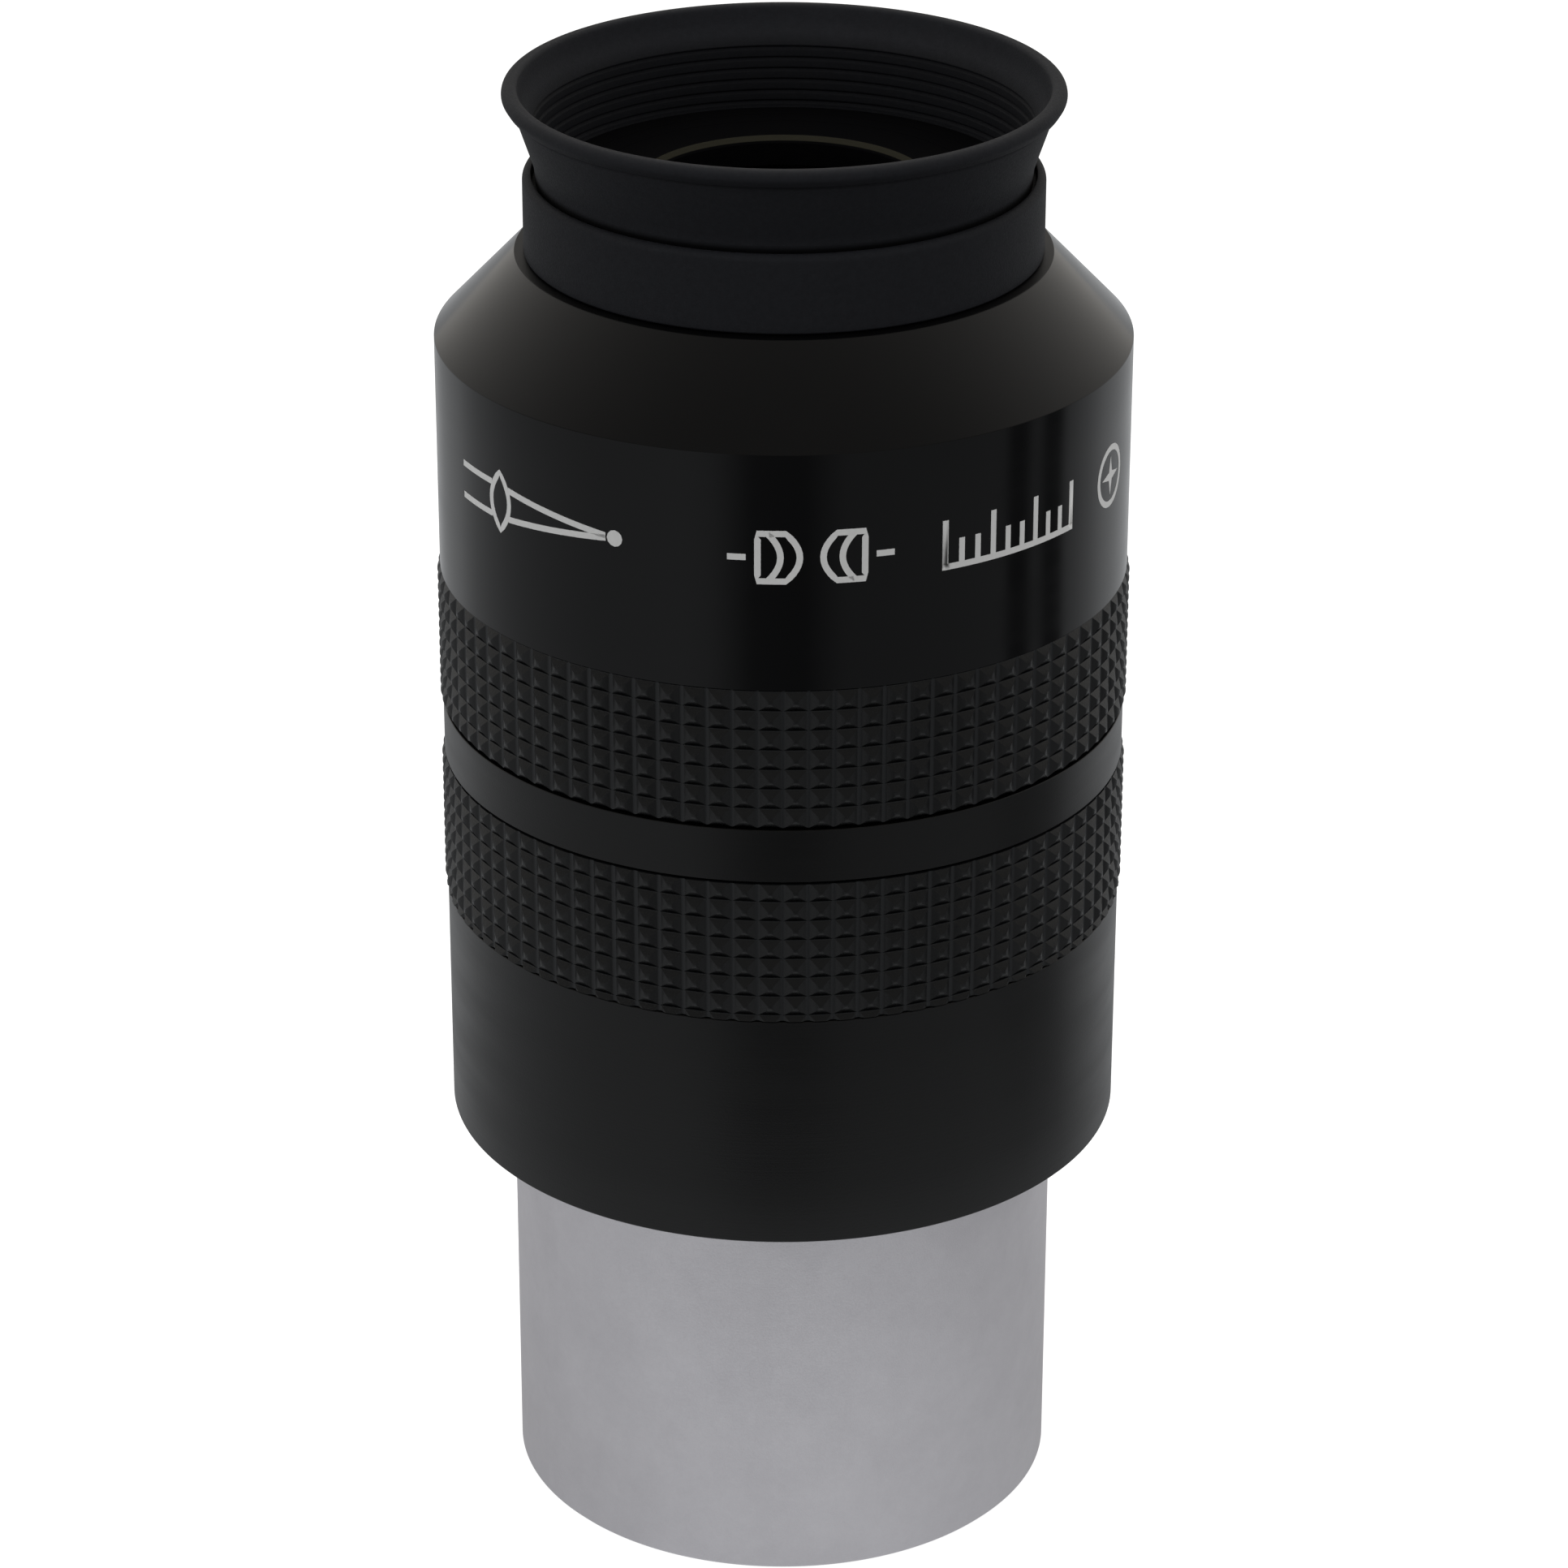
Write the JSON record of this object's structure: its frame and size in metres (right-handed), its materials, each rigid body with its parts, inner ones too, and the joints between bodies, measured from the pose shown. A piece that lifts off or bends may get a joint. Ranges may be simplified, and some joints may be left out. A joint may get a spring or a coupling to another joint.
{
  "type": "telescope eyepiece",
  "caption": "Two-inch telescope eyepiece: chromed nosepiece, black turned housing with studded rubber grip rings, coned shoulder and a fold-down rubber eyecup.",
  "frame": {"origin": "centre of the nosepiece's open end, which is the lowest face", "axes": "+Z along the optical axis, from the nosepiece up to the eyecup"},
  "size_m": [0.0628, 0.0628, 0.137],
  "materials": {
    "satin_chrome": "satin chrome plate, fine turned grain",
    "satin_anodised": "satin black anodised",
    "gloss_anodised": "polished black anodised",
    "grip_rubber": "matt moulded rubber",
    "eyecup_rubber": "matt moulded rubber",
    "matt_black_metal": "matt black anodised",
    "crown_glass": "polished, coated",
    "flint_glass": "polished, coated",
    "blackened_steel": "blackened"
  },
  "bodies": {
    "root": {"barrel_tube": "satin_chrome", "lower_housing": "satin_anodised", "upper_housing": "gloss_anodised", "set_screws": "blackened_steel", "lower_grip_ring": "grip_rubber", "upper_grip_ring": "grip_rubber", "field_stop_ring": "matt_black_metal", "field_stop_retainer": "matt_black_metal", "baffle_sleeve": "matt_black_metal", "lens_cell": "matt_black_metal", "cell_lock_ring": "matt_black_metal", "field_retaining_ring": "matt_black_metal", "field_lens_flint": "flint_glass", "field_lens_crown": "crown_glass", "doublet_spacer": "matt_black_metal", "eye_lens_crown": "crown_glass", "eye_lens_flint": "flint_glass", "eye_retaining_ring": "matt_black_metal", "neck_ring": "matt_black_metal"},
    "eyecup": {"eyecup_band": "eyecup_rubber", "eyecup_skirt": "eyecup_rubber"},
    "eyecup_rim": {"eyecup_rim": "eyecup_rubber"}
  },
  "joints": [
    {"name": "eyecup_turn", "type": "hinge", "parent": "root", "child": "eyecup", "pos_m": [0, 0, 0.125], "axis": [0, 0, 1], "continuous": true},
    {"name": "eyecup_fold", "type": "slide", "parent": "eyecup", "child": "eyecup_rim", "axis": [0, 0, -1], "range_m": [0, 0.013], "deforming": ["eyecup_skirt"]}
  ]
}
